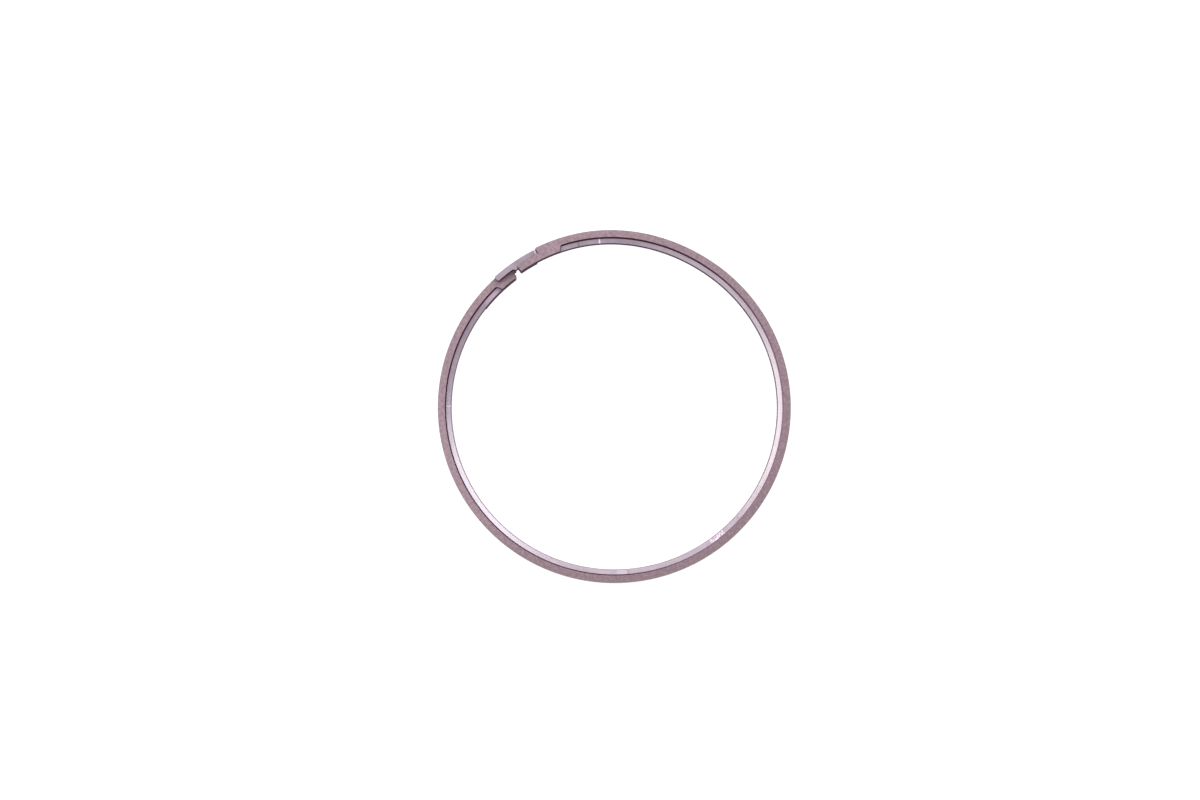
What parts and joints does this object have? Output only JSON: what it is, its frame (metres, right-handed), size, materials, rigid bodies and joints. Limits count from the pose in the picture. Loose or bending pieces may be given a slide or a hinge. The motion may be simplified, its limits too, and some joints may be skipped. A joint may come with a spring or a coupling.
{
  "type": "split seal ring",
  "caption": "Flat plastic split ring with an overlapping stepped joint and recessed side faces, which seals oil pressure between a rotating shaft's groove and its housing bore.",
  "frame": {"origin": "on the ring's axis, in the plane of the lower side face that the ring lies on", "axes": "+Z along the ring's axis, up; +X from the axis through the middle of the joint's gap; the raised end A is on the -Y side of the gap and end B on the +Y side"},
  "size_m": [0.06, 0.06, 0.0047],
  "materials": {
    "peek": "moulded, with lapped side faces"
  },
  "bodies": {
    "root": {"seal_ring": "peek"}
  },
  "joints": []
}
